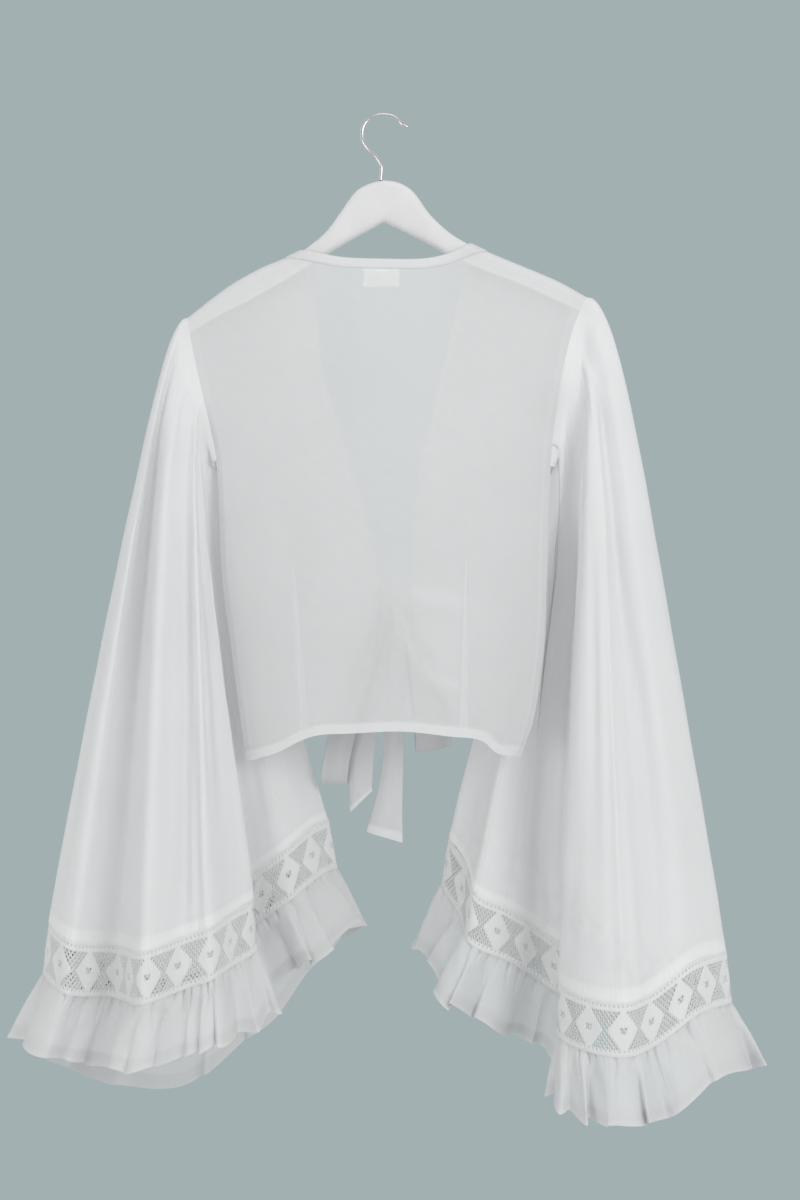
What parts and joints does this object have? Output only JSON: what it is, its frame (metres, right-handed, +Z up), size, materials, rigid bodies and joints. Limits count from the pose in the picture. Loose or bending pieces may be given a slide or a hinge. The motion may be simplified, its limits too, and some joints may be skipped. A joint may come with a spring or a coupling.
{
  "type": "sheer wrap top with crochet lace sleeve bands on a clothes hanger",
  "caption": "sheer white tie-front wrap top with wide bell sleeves, crochet lace bands and gathered ruffles, hanging on a white wooden hanger",
  "frame": {"origin": "the inside of the hook's top, where a rail bears", "axes": "+Z up, +Y from the garment's back to its fronts, +X to the wearer's right"},
  "size_m": [0.7428, 0.276, 0.996],
  "materials": {
    "cloth": "sheer white crepe voile, matte",
    "lace": "white crochet lace in fine cotton yarn",
    "label": "bare white woven tape",
    "painted wood": "white satin paint",
    "chrome": "bright plated wire"
  },
  "bodies": {
    "root": {"back_panel": "cloth", "front_left": "cloth", "front_right": "cloth", "neck_binding_back": "cloth", "neck_binding_left": "cloth", "neck_binding_right": "cloth", "sleeve_left": "cloth", "sleeve_right": "cloth", "lace_left": "lace", "lace_right": "lace", "ruffle_left": "cloth", "ruffle_right": "cloth", "tie_knot": "cloth", "tie_loop_left": "cloth", "tie_loop_right": "cloth", "tie_tail_left": "cloth", "tie_tail_right": "cloth", "neck_label": "label", "size_tab": "label", "hanger_body": "painted wood", "hanger_hook": "chrome"}
  },
  "joints": []
}
